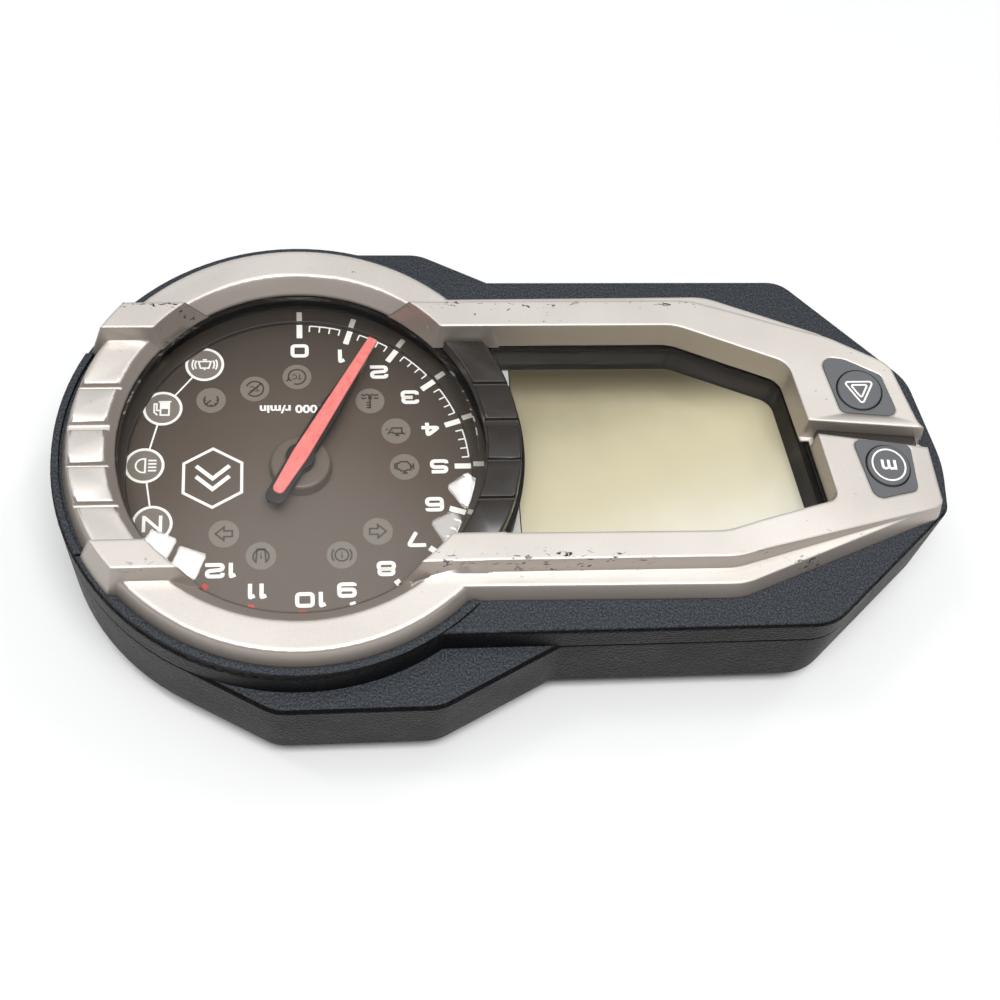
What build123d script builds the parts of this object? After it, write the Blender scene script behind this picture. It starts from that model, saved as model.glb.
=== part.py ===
"""Motorcycle instrument cluster: round rev counter, display window and a nose with two push buttons.

Plan coordinates are measured from the dial's axis: +X to the reader's right, +Y up the face, +Z out of
the face. save() shifts every piece by DIAL_X, so that the origin is the middle of the mounting side.
"""

from build123d import *
from math import acos, atan2, cos, radians, sin
import os

# ---- driving dimensions, mm ----
DIAL_X = 48.61            # dial axis from the origin
CASE_R = 56.7             # outer radius of the case round the dial
CASE_HALF = 47.3          # half height of the case beside the display
WING_HALF = 61.5          # half height over the two mounting wings
NOSE_X = -154.2           # tip of the nose
WALL = 2.4                # case wall thickness

Z_BACK = 7.0              # rear wall, outer face
Z_BOARD = 12.4            # underside of the circuit board
Z_DIAL = 28.5             # printed face of the dial, and face of the display
Z_SEAM = 29.6             # joint of the rear housing and the front case
Z_FLANGE = 37.6           # flat face of the front case under the bezel
Z_LENS = 39.4             # top of the lens flange
Z_RING = 43.1             # top of the dial ring and of the arms' ledge
Z_ARM = 48.0              # top of the display arms

DOME_R = 41.5             # clear dome over the dial
DOME_RISE = 4.4
LENS_T = 1.7
RIM_R = 41.8              # lower rim of the silver ring, round the lens dome
RING_IN_R = 45.3          # inner edge of the ring's flat top
RING_OUT_R = 52.5         # outer edge of the ring's flat top
RING_FOOT_R = 54.0        # ring's foot on the case
BAR_IN = 27.2             # inner edge of each bar's top, from the centre line
BAR_OUT = 34.1            # outer edge of each bar's top
SHOULDER_IN = 26.4        # the same edges at the bar's foot
SHOULDER_OUT = 36.0
GROOVE_YS = (16.1, 6.0, -4.0, -14.4)   # grooves that divide the side segments
GROOVE_WIDTHS = (0.9, 0.7, 1.7, 0.9)
SLOT_HALF = 1.25           # half width of the slot between the button islands

BOARD_T = 1.6
DIAL_R = 46.0             # dial plate
MOTOR_SHAFT_R = 0.75
NEEDLE_ANGLE = 240.7      # direction of the needle at rest, degrees from +X
BUTTON_R = 5.3
BUTTON_GAP = 0.3
HAZARD_AT = (-132.3, -8.3)
MENU_AT = (-137.1, 10.4)
SWITCH_H = 1.7

POST_CIRCLE_X = -41.5     # centre of the mounting circle
POST_CIRCLE_R = 58.0
INSERT_R = 4.0
THREAD_R = 2.1

TELLTALES = {             # lamp windows on the dial, by place
    "horn": (23.0, -29.1), "fuel": (32.7, -16.8), "beam": (36.5, -1.3), "neutral": (34.2, 14.0),
    "cruise": (21.3, -19.0), "traction_off": (10.9, -22.1), "traction": (0.7, -25.4),
    "coolant": (-16.9, -18.4), "oil": (-22.9, -9.9), "engine": (-24.6, 0.0),
    "right": (-17.7, 17.0), "brake": (-9.2, 22.9), "tyre": (9.3, 22.7), "left": (17.8, 16.9),
}


# ---- small tools ----
def plan(*corners):
    """Closed outline from corners (x, y, corner radius)."""
    points = [(x, y) for x, y, radius in corners]
    radii = [radius for x, y, radius in corners]
    return make_face(FilletPolyline(*points, radius=radii, close=True).edges())


def prism(outline, low, high, taper=0):
    """Outline raised from one level to another, with its sides drawn in by taper degrees."""
    return Pos(0, 0, low) * extrude(outline, high - low, taper=taper)


def turned(*corners, arc=360):
    """Solid of revolution about the dial axis, from profile corners (radius, z, corner radius)."""
    points = [(x, z) for x, z, radius in corners]
    radii = [radius for x, z, radius in corners]
    profile = make_face(Plane.XZ * FilletPolyline(*points, radius=radii, close=True))
    return Rot(0, 0, -arc / 2) * revolve(profile, Axis.Z, arc)


def round_bar(radius, low, high, at=(0, 0)):
    """Upright cylinder between two levels."""
    return Pos(at[0], at[1], (low + high) / 2) * Cylinder(radius, high - low)


def tube(outer, inner, low, high, at=(0, 0)):
    """Upright tube between two levels."""
    return round_bar(outer, low, high, at) - round_bar(inner, low - 1, high + 1, at)


def block(x_low, x_high, y_low, y_high, z_low, z_high):
    """Rectangular block from its limits."""
    size = Box(x_high - x_low, y_high - y_low, z_high - z_low)
    return Pos((x_low + x_high) / 2, (y_low + y_high) / 2, (z_low + z_high) / 2) * size


def polar(radius, degrees, centre_x=0):
    """Point at a radius and an angle."""
    return (centre_x + radius * cos(radians(degrees)), radius * sin(radians(degrees)))


def group(shapes):
    """One node from several like solids."""
    return Compound(children=[shape.solids()[0] for shape in shapes])


def save(name, shape):
    """Write one sub-part, shifted from the dial's axis to the common origin."""
    solids = [solid.moved(Location((DIAL_X, 0, 0))) for solid in shape.solids()]
    export_step(Compound(children=solids) if len(solids) > 1 else solids[0], f"parts/{name}.step")


# ---- shared outlines ----
def case_plan():
    """Front case: circle round the dial, straight sides and an angled nose."""
    display = plan(
        (-15, CASE_HALF, 0),
        (-120.6, CASE_HALF, 12),
        (-153.0, 18.6, 4),
        (NOSE_X, 6, 30),
        (-149.5, -17.9, 12),
        (-121.3, -CASE_HALF, 8),
        (-15, -CASE_HALF, 0),
    )
    return Circle(CASE_R) + display


def housing_plan():
    """Rear housing: as the case, with two wings that carry the upper and lower mounting posts."""
    wing_x = 6.5
    reach = (wing_x ** 2 + WING_HALF ** 2) ** 0.5
    tangent = atan2(WING_HALF, wing_x) - acos(CASE_R / reach)
    return plan(
        (CASE_R / cos(tangent), 0, CASE_R),
        (wing_x, WING_HALF, 10),
        (-30.5, WING_HALF, 10),
        (-58.5, CASE_HALF, 4),
        (-120.6, CASE_HALF, 12),
        (-153.0, 18.6, 4),
        (NOSE_X, 6, 30),
        (-149.5, -17.9, 12),
        (-121.3, -CASE_HALF, 8),
        (-58.5, -CASE_HALF, 4),
        (-30.5, -WING_HALF, 10),
        (wing_x, -WING_HALF, 10),
    )


def window_plan():
    """Display window through the bezel, open to the dial's circle at its right end."""
    return plan(
        (-30, 27.0, 0),
        (-95.5, 27.6, 14),
        (-123.2, 19.2, 2.5),
        (-120.65, 0.8, 0),
        (-118.6, 0.8, 0),
        (-115.9, -16.1, 5),
        (-89.8, -26.9, 12),
        (-30, -26.9, 0),
    )


def mask_plan():
    """Inner walls of the display mask, under the lens."""
    box = plan(
        (-35, 26.9, 0),
        (-96.5, 26.9, 10),
        (-121.6, 18.4, 3),
        (-116.6, -16.6, 5),
        (-91.5, -26.9, 8),
        (-35, -26.9, 0),
    )
    return box - Circle(RING_OUT_R)


def lens_plan(grow=0.0):
    """Lens flange: round the dial and round the display window."""
    window = plan(
        (-30, 30.0 + grow, 0),
        (-97, 30.0 + grow, 12),
        (-125.6 - grow, 20.8 + grow, 3),
        (-118.9 - grow, -19 - grow, 5),
        (-92.5, -30.0 - grow, 10),
        (-30, -30.0 - grow, 0),
    )
    return Circle(49.5 + grow) + window


def hazard_plan():
    """Rubber pad round the hazard button."""
    return plan(
        (-126.9, -2.3, 1.8),
        (-140.9, -1.0, 2.0),
        (-138.4, -12.5, 1.8),
        (-130.0, -17.1, 6),
        (-123.9, -17.9, 2.4),
    )


def menu_plan():
    """Rubber pad round the menu button."""
    return plan(
        (-129.2, 3.3, 1.8),
        (-132.5, 19.4, 2.6),
        (-143.7, 16.6, 2.0),
        (-143.8, 4.4, 1.6),
    )


# ---- case ----
SCREW_AT = [(41.1, 28.6), (41.1, -28.6), (-70, 40), (-70, -40), (-114, 37.5), (-114, -37.5)]
POSTS = [polar(POST_CIRCLE_R, angle, POST_CIRCLE_X) for angle in (60, 180, 300)]
BOARD_SCREW_AT = [(-36, 26.5), (-36, -26.5), (-112, 24.5), (-112, -20.5), (34, 22), (34, -22)]
SCREW_MEET = 20.0         # where the housing's bosses meet the front case's
CONNECTOR_AT = (-62, 0)
CONNECTOR_SIZE = (36.0, 17.0)


def rear_housing():
    """Moulded tub with wings, mounting posts, screw bosses and a socket opening."""
    outside = housing_plan()
    shell = prism(outside, Z_BACK, Z_SEAM)
    shell = chamfer(shell.faces().sort_by(Axis.Z)[0].outer_wire().edges(), 0.9)
    top_edges = shell.faces().sort_by(Axis.Z)[-1].outer_wire().edges()
    shell = chamfer(top_edges, 0.8)
    shell -= prism(offset(outside, -WALL), Z_BACK + WALL, Z_SEAM - 2.2)
    shell -= prism(offset(case_plan(), -WALL - 0.5), Z_SEAM - 3, Z_SEAM + 1)
    for at in POSTS:
        shell += round_bar(7.0, 0, 14, at)
        shell -= round_bar(INSERT_R, -1, 12, at)
    for angle in range(0, 180, 45):
        rib = Pos(*POSTS[1], (Z_BACK + 3) / 2) * Rot(0, 0, angle) * Box(24, 1.6, Z_BACK - 2)
        shell += rib - round_bar(6, 0, Z_BACK + 1, POSTS[1])
    for at in SCREW_AT:
        shell += round_bar(4.8, Z_BACK, SCREW_MEET, at)
        shell -= round_bar(3.3, Z_BACK - 1, Z_BACK + 4.2, at)
        shell -= round_bar(1.6, Z_BACK, SCREW_MEET + 1, at)
    for at in BOARD_SCREW_AT:
        shell += round_bar(3.0, Z_BACK + 1, Z_BOARD, at)
        shell -= round_bar(1.05, Z_BACK + WALL, Z_BOARD + 1, at)
    width, height = CONNECTOR_SIZE
    shell -= prism(Pos(*CONNECTOR_AT) * Rectangle(width + 0.4, height + 0.4), 0, 12)
    shell -= round_bar(5.0, 0, 12, (-20, 30))
    return shell


def front_case():
    """Moulded frame under the bezel, with a raised lip round the dial."""
    shell = prism(case_plan(), Z_SEAM, Z_FLANGE)
    shell = fillet(shell.faces().sort_by(Axis.Z)[-1].outer_wire().edges(), 1.3)
    lip = turned(
        (54.6, Z_FLANGE - 2, 0),
        (54.6, Z_FLANGE + 1.2, 0),
        (56.2, Z_FLANGE + 1.2, 0),
        (56.2, Z_FLANGE - 2, 0),
        arc=269,
    )
    for side in (1, -1):
        ends = sorted((side * (SHOULDER_IN - 0.3), side * (SHOULDER_OUT + 0.3)))
        lip -= block(30, 60, *ends, Z_FLANGE, 60)
    shell += lip
    shell -= prism(offset(case_plan(), -WALL), Z_SEAM - 1, Z_FLANGE - 2.2)
    for at in SCREW_AT:
        shell += round_bar(3.6, SCREW_MEET + 0.1, Z_FLANGE - 2, at)
        shell -= round_bar(1.27, SCREW_MEET - 1, 33, at)
    shell -= round_bar(46.2, 0, 60)
    shell -= prism(offset(mask_plan(), 1.8), Z_SEAM - 3, Z_FLANGE + 2)
    shell -= prism(lens_plan(0.2), Z_FLANGE - 0.4, Z_FLANGE + 0.5)
    shell -= block(-129, -126.2, -3.5, 9.5, 30, 40)
    return shell


def housing_seal():
    """Rubber cord between the two shells, inside the wall."""
    ring = offset(case_plan(), -WALL - 0.6) - offset(case_plan(), -WALL - 1.6)
    band = prism(ring, Z_SEAM - 0.9, Z_SEAM + 0.9)
    for at in SCREW_AT:
        band -= round_bar(4.0, 0, 60, at)
    return band


# ---- bezel ----
def bezel_foot_plan():
    """Silver foot of the arms on the case."""
    return plan(
        (-30, 39.2, 0),
        (-99.5, 40.2, 16),
        (-150.7, 20.6, 3),
        (-149.7, 3.3, 2.5),
        (-147.2, 0.8, 4),
        (-142.9, -16.4, 8),
        (-128.5, -28.3, 16),
        (-99.5, -39.8, 16),
        (-30, -39.2, 0),
    )


def bezel_arm_plan():
    """Raised bar outline of the arms, at the level of the ledge."""
    return plan(
        (-30, 34.7, 0),
        (-97.5, 35.1, 16),
        (-149.3, 20.6, 3),
        (-148.4, 3.0, 2),
        (-145.9, 0.5, 4),
        (-141.6, -16.2, 7),
        (-127.5, -24.0, 14),
        (-94, -35.0, 16),
        (-30, -34.9, 0),
    )


def ring_profile(inner_top, outer_top, top):
    """Section of the dial ring: sloping inner face, flat top, drawn outer wall."""
    return (
        (RIM_R, Z_LENS + 0.1, 0),
        (inner_top, top, 0.9),
        (outer_top, top, 1.2),
        (RING_FOOT_R, Z_FLANGE, 0),
        (RIM_R + 2, Z_FLANGE, 0),
    )


def groove(y, width, depth=1.3):
    """Straight groove across the side segments, parallel to X, with sloping sides."""
    section = make_face(Polyline(
        (y - width / 2 - 0.35, Z_RING + 0.1),
        (y + width / 2 + 0.35, Z_RING + 0.1),
        (y + width / 2 - 0.1, Z_RING - depth),
        (y - width / 2 + 0.1, Z_RING - depth),
        close=True,
    ))
    return Pos(-60, 0, 0) * extrude(Plane.YZ * section, 120)


def grooves():
    """All the grooves of one side."""
    return [groove(y, width) for y, width in zip(GROOVE_YS, GROOVE_WIDTHS)]


def shoulder_bars():
    """Two straight bars across the ring, cut away round the lens by a steep cone."""
    bars = Part()
    for side in (1, -1):
        section = make_face(Polyline(
            (side * SHOULDER_IN, Z_FLANGE),
            (side * SHOULDER_OUT, Z_FLANGE),
            (side * BAR_OUT, Z_ARM),
            (side * BAR_IN, Z_ARM),
            close=True,
        ))
        bar = Pos(-60, 0, 0) * extrude(Plane.YZ * section, 120)
        bars += bar
    outer = turned((0, Z_FLANGE, 0), (55.4, Z_FLANGE, 0), (52.9, Z_ARM, 0), (0, Z_ARM, 0))
    low, high = Z_FLANGE - 1, Z_ARM + 1
    inner = turned((0, low, 0), (41.0, low, 0), (43.2, high, 0), (0, high, 0))
    return (bars & outer) - inner


def slope_cut():
    """Wedge that lowers the upper arm and the menu island towards the nose."""
    wedge = make_face(Polyline(
        (-104, Z_ARM),
        (-156, Z_ARM - 5.5),
        (-156, Z_ARM + 3),
        (-104, Z_ARM + 3),
        close=True,
    ))
    return Pos(0, 60, 0) * extrude(Plane.XZ * wedge, 60)


def slot_line(x):
    """Centre line of the slot between the hazard island and the menu island."""
    return 0.35 - 0.0905 * (x + 114)


def split_plan(half_width=SLOT_HALF):
    """Slot between the two islands, from the window to past the nose."""
    left, right = -160, -114
    return plan(
        (right, slot_line(right) - half_width, 0),
        (left, slot_line(left) - half_width, 0),
        (left, slot_line(left) + half_width, 0),
        (right, slot_line(right) + half_width, 0),
    )


def display_arm(side):
    """One raised arm with its island, cut off at the slot."""
    left, right = -160, -35
    edge = side * SLOT_HALF
    own_half = plan(
        (right, slot_line(right) + edge, 0),
        (left, slot_line(left) + edge, 0),
        (left, side * 60, 0),
        (right, side * 60, 0),
    )
    arm = prism(bezel_arm_plan(), Z_RING - 1, Z_ARM, taper=7) & prism(own_half, 0, 60)
    arm -= prism(window_plan(), Z_FLANGE - 1, Z_ARM + 2, taper=-1.5)
    arm -= block(-40, 0, -60, 60, 0, 60)
    if side > 0:
        arm -= slope_cut()
    return arm


def front_bezel():
    """Silver moulding: ring, shoulders, side segments and the two display arms."""
    foot = prism(bezel_foot_plan(), Z_FLANGE, Z_RING, taper=13)
    foot -= prism(window_plan(), Z_FLANGE - 1, Z_ARM + 2, taper=-1.5)
    foot -= round_bar(47, 0, 60)
    foot -= prism(split_plan(), Z_FLANGE + 2.5, Z_ARM + 2)
    ring = turned(*ring_profile(RING_IN_R, RING_OUT_R, Z_RING))
    ring -= block(-60, 60, -30, 30, 0, 60)
    segments = turned(*ring_profile(43.9, 52.1, Z_RING)) & block(0, 60, -30, 30, 0, 60)
    for cut in grooves():
        segments -= cut
    bezel = ring + segments + shoulder_bars() + foot + display_arm(1) + display_arm(-1)
    bezel -= prism(lens_plan(0.3), Z_FLANGE - 1, Z_LENS + 0.1)
    bezel -= prism(hazard_plan(), Z_ARM - 4, Z_ARM + 1)
    bezel -= prism(offset(hazard_plan(), -1.2), Z_FLANGE - 1, Z_ARM)
    bezel -= prism(menu_plan(), Z_ARM - 6.5, Z_ARM + 1)
    bezel -= prism(offset(menu_plan(), -1.2), Z_FLANGE - 1, Z_ARM)
    for at in (HAZARD_AT, MENU_AT):
        bezel -= round_bar(BUTTON_R + 0.5, Z_FLANGE - 1, Z_ARM, at)
    bezel -= block(-143, -126.5, -12.8, 15.8, Z_FLANGE - 1, Z_FLANGE + 1.9)
    return bezel


def divider_trim():
    """Gloss black ring segments between the dial and the display."""
    band = turned(
        (43.2, Z_LENS + 0.1, 0),
        (43.3, Z_RING - 0.4, 0.5),
        (51.2, Z_RING - 0.4, 0.6),
        (51.5, Z_LENS + 0.1, 0),
    )
    band &= block(-60, -20, -26.2, 26.2, 0, 60)
    for cut in grooves():
        band -= cut
    return band


def split_trim():
    """Gloss black strip at the bottom of the slot between the two islands."""
    strip = prism(split_plan(SLOT_HALF - 0.1), Z_FLANGE + 2.6, Z_RING + 0.6)
    strip &= block(-145.5, -121.9, -10, 12, 0, 60)
    return strip


# ---- lens and seals ----
def clear_lens():
    """One clear moulding: a dome over the dial in a flat flange that covers the display."""
    flange = prism(lens_plan(), Z_FLANGE + 0.1, Z_LENS)
    flange -= round_bar(DOME_R - 0.3, 0, 60)
    sphere_r = (DOME_R ** 2 + DOME_RISE ** 2) / (2 * DOME_RISE)
    shell = Sphere(sphere_r) - Sphere(sphere_r - LENS_T)
    dome = Pos(0, 0, Z_LENS + DOME_RISE - sphere_r) * shell
    return flange + (dome & round_bar(DOME_R, 30, 60))


def lens_seal():
    """Thin rubber gasket under the lens flange."""
    ring = lens_plan() - Circle(46.6) - offset(mask_plan(), 2.0)
    return prism(ring, Z_FLANGE - 0.4, Z_FLANGE + 0.1)


# ---- dial ----
def chapter_ring():
    """Raised outer track of the dial, which carries the outer half of the scale."""
    top = Z_DIAL + 1.0
    return turned((40.6, Z_DIAL, 0), (40.9, top, 0.2), (45.9, top, 0), (45.9, Z_DIAL, 0))


def light_box():
    """White box behind the dial: a wall, a plate and one light tube per lamp."""
    low, high = Z_BOARD + BOARD_T + 2.4, 25.2
    box = tube(44.4, 43.0, low, high) + round_bar(43.5, high - 1.2, high)
    for at in TELLTALES.values():
        box += round_bar(4.0, low, high, at)
    for at in TELLTALES.values():
        box -= round_bar(3.0, low - 1, high + 1, at)
    for step in range(12):
        box -= round_bar(2.2, low - 1, high + 1, polar(32, 15 + 30 * step))
    box -= round_bar(15.2, 0, high - 4)
    return box - round_bar(3.0, 0, 60)


def lamps(places, size, low, height):
    """Group of small flat lamps."""
    lamp = prism(Rectangle(*size), low, low + height)
    return group([Pos(x, y) * lamp for x, y in places])


# ---- movement and needle ----
MOTOR_LOW = Z_BOARD + BOARD_T
MOTOR_TOP = MOTOR_LOW + 6.8


def motor_case():
    """Flat plastic case of the stepper motor, hollow for its wheel."""
    body = prism(Circle(12.5), MOTOR_LOW, MOTOR_TOP)
    body += block(-14.5, 14.5, -4.5, 4.5, MOTOR_LOW, MOTOR_LOW + 2.0)
    body -= round_bar(9.2, MOTOR_LOW + 3.2, MOTOR_TOP - 1.0)
    body -= block(-11.2, 11.2, -7.7, -2.2, MOTOR_LOW + 0.8, MOTOR_LOW + 2.9)
    body -= block(-11.2, 11.2, 2.2, 7.7, MOTOR_LOW + 0.8, MOTOR_LOW + 2.9)
    return body - round_bar(MOTOR_SHAFT_R + 0.05, MOTOR_LOW + 1.0, MOTOR_TOP + 1)


def motor_coils():
    """Two coils side by side in the motor's base."""
    return group([Pos(0, y, MOTOR_LOW + 1.85) * Rot(0, 90, 0) * Cylinder(1.0, 20) for y in (-5, 5)])


def motor_wheel():
    """Toothed output wheel on the needle's shaft."""
    low, high = MOTOR_LOW + 3.8, MOTOR_LOW + 5.0
    wheel = round_bar(8.0, low, high)
    for step in range(30):
        wheel -= Rot(0, 0, 12 * step) * round_bar(0.42, low - 1, high + 1, (8.1, 0))
    return wheel - round_bar(MOTOR_SHAFT_R, 0, 60)


def along_needle(shape):
    """Turn a piece drawn along +X to the needle's rest direction."""
    return Rot(0, 0, NEEDLE_ANGLE) * shape


def needle_carrier():
    """Black carrier under the blade, with a socket for the shaft and a short tail."""
    outline = plan(
        (-13.6, 2.3, 1.6),
        (13.0, 2.6, 0.4),
        (34.0, 0.9, 0.2),
        (34.0, -0.9, 0.2),
        (13.0, -2.6, 0.4),
        (-13.6, -2.3, 1.6),
    )
    body = prism(outline, 33.2, 34.9) + round_bar(3.4, 32.6, 34.9)
    body -= round_bar(MOTOR_SHAFT_R, 30, 34.2)
    return along_needle(body)


def needle_blade():
    """Red blade on the carrier, widest at the hub and tapering to the tip."""
    outline = plan(
        (-11.3, 1.35, 1.2),
        (0, 1.95, 20),
        (36.6, 1.15, 0.3),
        (36.6, -1.15, 0.3),
        (0, -1.95, 20),
        (-11.3, -1.35, 1.2),
    )
    return along_needle(prism(outline, 34.9, 35.7))


# ---- buttons ----
def pad(outline, at, low, top_cut):
    """Rubber surround with a round hole for its button."""
    body = prism(offset(outline, -0.05), low, Z_ARM + 2) - top_cut
    return body - round_bar(BUTTON_R + BUTTON_GAP, 0, 60, at)


def menu_surface(rise):
    """Everything above the sloping top of the menu island, raised by rise."""
    face = make_face(Polyline(
        (-104, Z_ARM + rise),
        (-156, Z_ARM - 5.5 + rise),
        (-156, Z_ARM + 20),
        (-104, Z_ARM + 20),
        close=True,
    ))
    return Pos(0, 60, 0) * extrude(Plane.XZ * face, 100)


def button(at, low, top_cut):
    """Round rubber button with a neck below."""
    cap = round_bar(BUTTON_R, low + 1.2, Z_ARM + 2, at) + round_bar(3.0, low, low + 1.2, at)
    return cap - top_cut


def plunger(at):
    """Switch plunger that the button rests on."""
    low = Z_FLANGE + 0.1 + BOARD_T
    return round_bar(1.6, low + 1.2, low + SWITCH_H + 0.9, at)


def switch(at):
    """Low square switch with a round opening for its plunger."""
    x, y = at
    low = Z_FLANGE + 0.1 + BOARD_T
    body = block(x - 3.1, x + 3.1, y - 3.1, y + 3.1, low, low + SWITCH_H)
    return body - round_bar(1.7, low + 0.3, low + 3, at)


# ---- electronics ----
def circuit_board():
    """Main board, cut away round the third mounting post."""
    outline = Circle(44) + Pos(-73, 0) * Rectangle(106, 61) + Pos(-125.5, 1) * Rectangle(11, 24)
    board = prism(outline, Z_BOARD, Z_BOARD + BOARD_T)
    board -= round_bar(7.6, 0, 30, POSTS[1])
    for at in BOARD_SCREW_AT:
        board -= round_bar(1.3, 0, 30, at)
    return board


def board_chips():
    """Processor, driver and power parts on the main board."""
    low = Z_BOARD + BOARD_T
    chips = [
        block(-84, -72, -6, 6, low, low + 1.4),
        block(-66, -60, -22, -12, low, low + 1.5),
        block(-114, -108, -6, 4, low, low + 1.2),
        block(-90, -82, 14, 22, low, low + 2.0),
        block(-64, -57, 12, 24, low, low + 2.6),
    ]
    return group(chips)


PIN_PITCH = 2.5
PIN_ROWS = (-3.2, 3.2)


def connector_shell():
    """Socket shell on the board, open towards the back."""
    width, height = CONNECTOR_SIZE
    shell = prism(Pos(*CONNECTOR_AT) * Rectangle(width, height), 1.6, Z_BOARD)
    shell -= prism(Pos(*CONNECTOR_AT) * Rectangle(width - 3.2, height - 3.2), 0, 10.4)
    for pin_x, pin_y in pin_places():
        shell -= block(pin_x - 0.33, pin_x + 0.33, pin_y - 0.33, pin_y + 0.33, 0, 20)
    return shell


def pin_places():
    """Centres of the connector's contacts."""
    x, y = CONNECTOR_AT
    return [(x + PIN_PITCH * (column - 4.5), y + row) for row in PIN_ROWS for column in range(10)]


def connector_pins():
    """Square contacts that stand in the socket and end at the board."""
    pins = [block(x - 0.32, x + 0.32, y - 0.32, y + 0.32, 3.6, Z_BOARD) for x, y in pin_places()]
    return group(pins)


def display_frame():
    """Holder that locates the display glass over its light panel."""
    frame = block(-126.2, -47.2, -31.5, 31.5, 16.6, 28.0) - round_bar(46.8, 0, 60)
    frame -= block(-124.0, -51.4, -29.4, 29.4, 17.8, 40)
    for x in (-119, -55):
        feet = block(x - 2, x + 2, -31.5, 31.5, Z_BOARD + BOARD_T, 17.8)
        frame += feet - block(-130, 0, -28, 28, 0, 60)
    for at in [(-70, 40), (-70, -40)]:
        frame -= round_bar(5.2, 0, 60, at)
    return frame


# ---- fasteners ----
def screw(at, head_low, head_high, tip, head_r, shank_r):
    """Pan-head screw pointing up, with a six-lobe style socket."""
    body = round_bar(head_r, head_low, head_high, at) + round_bar(shank_r, head_high, tip, at)
    return body - round_bar(head_r * 0.45, head_low - 1, head_low + 1.0, at)


def board_screw(at):
    """Small screw that holds the board down on its boss."""
    low, high = Z_BOARD + BOARD_T, Z_BOARD + BOARD_T + 1.4
    body = round_bar(2.2, low, high, at) + round_bar(1.0, Z_BACK + WALL + 0.3, low, at)
    return body - Pos(at[0], at[1], high) * Box(3.4, 0.6, 1.2)


def mount_insert(at):
    """Knurled brass insert with a blind thread."""
    body = round_bar(INSERT_R, 0, 12, at)
    body -= tube(INSERT_R + 1, INSERT_R - 0.5, 5.2, 6.4, at)
    return body - round_bar(THREAD_R, -1, 11, at)


# ---- write the pieces ----
os.makedirs("parts", exist_ok=True)

save("rear_housing", rear_housing())
save("front_case", front_case())
save("housing_seal", housing_seal())
save("front_bezel", front_bezel())
save("divider_trim", divider_trim())
save("split_trim", split_trim())
mask = prism(offset(mask_plan(), 1.6) - mask_plan(), Z_DIAL + 0.1, Z_FLANGE - 0.5)
save("display_mask", mask)
save("clear_lens", clear_lens())
save("lens_seal", lens_seal())

save("dial_plate", tube(DIAL_R, 1.6, Z_DIAL - 1.2, Z_DIAL))
save("chapter_ring", chapter_ring())
shroud_low = Z_DIAL + 1.1
save("dial_shroud", turned((44.0, 36.9, 0), (44.6, shroud_low, 0), (46.0, shroud_low, 0), (46.0, 36.9, 0)))
save("dial_boss", turned((1.6, Z_DIAL, 0), (7.4, Z_DIAL, 0), (7.0, 31.9, 0.8), (1.6, 31.9, 0)))
save("dial_diffuser", tube(44.8, 3.0, 25.3, Z_DIAL - 1.3))
save("light_box", light_box())
LAMP_LOW = Z_BOARD + BOARD_T
save("telltale_leds", lamps(TELLTALES.values(), (3.2, 2.8), LAMP_LOW, 1.8))
save("dial_leds", lamps([polar(32, 15 + 30 * step) for step in range(12)], (2.4, 2.4), LAMP_LOW, 1.2))

save("motor_case", motor_case())
save("motor_coils", motor_coils())
save("motor_wheel", motor_wheel())
save("motor_shaft", round_bar(MOTOR_SHAFT_R, MOTOR_LOW + 1.3, 34.2))
save("needle_carrier", needle_carrier())
save("needle_blade", needle_blade())

save("display_frame", display_frame())
save("display_glass", block(-123.8, -51.6, -29.2, 29.2, 26.5, Z_DIAL))
save("display_backlight", block(-123.8, -51.6, -26.8, 26.8, 22.0, 26.3))
strips = [block(-120, -56, side * 28.1 - 0.9, side * 28.1 + 0.9, 17.9, 26.4) for side in (1, -1)]
save("display_strips", group(strips))
save("display_leds", lamps([(x, y) for x in (-105, -88, -71) for y in (-10, 10)], (3.0, 2.4), 18.0, 1.6))

hazard_top = block(-160, -100, -40, 40, Z_ARM + 0.35, 80)
menu_top = menu_surface(0.35)
save("hazard_pad", pad(hazard_plan(), HAZARD_AT, Z_ARM - 3.9, hazard_top))
save("menu_pad", pad(menu_plan(), MENU_AT, Z_ARM - 6.4, menu_top))
BUTTON_LOW = Z_FLANGE + 0.1 + BOARD_T + SWITCH_H + 0.9
hazard_cap_cut = block(-160, -100, -40, 40, Z_ARM + 0.7, 80)
save("hazard_button", button(HAZARD_AT, BUTTON_LOW, hazard_cap_cut))
save("menu_button", button(MENU_AT, BUTTON_LOW, menu_surface(0.9)))
save("hazard_plunger", plunger(HAZARD_AT))
save("menu_plunger", plunger(MENU_AT))
save("hazard_switch", switch(HAZARD_AT))
save("menu_switch", switch(MENU_AT))
save("switch_board", block(-142.5, -127, -12.3, 15.3, Z_FLANGE + 0.1, Z_FLANGE + 0.1 + BOARD_T))
save("switch_ribbon", block(-127.7, -127.3, -2, 8, 17.5, Z_FLANGE + 0.1))
save("ribbon_socket", block(-129.6, -126.4, -3, 9, LAMP_LOW, 17.5))

save("circuit_board", circuit_board())
save("board_chips", board_chips())
save("connector_shell", connector_shell())
save("connector_pins", connector_pins())
vent_at = (-20, 30)
vent = round_bar(4.95, Z_BACK - 0.8, Z_BACK + WALL + 1, vent_at) + round_bar(6.5, Z_BACK - 1.6, Z_BACK, vent_at)
save("breather_vent", vent)

save("mount_inserts", group([mount_insert(at) for at in POSTS]))
save("case_screws", group([screw(at, Z_BACK + 1.8, Z_BACK + 4.2, 32, 2.9, 1.25) for at in SCREW_AT]))
save("board_screws", group([board_screw(at) for at in BOARD_SCREW_AT]))
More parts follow.
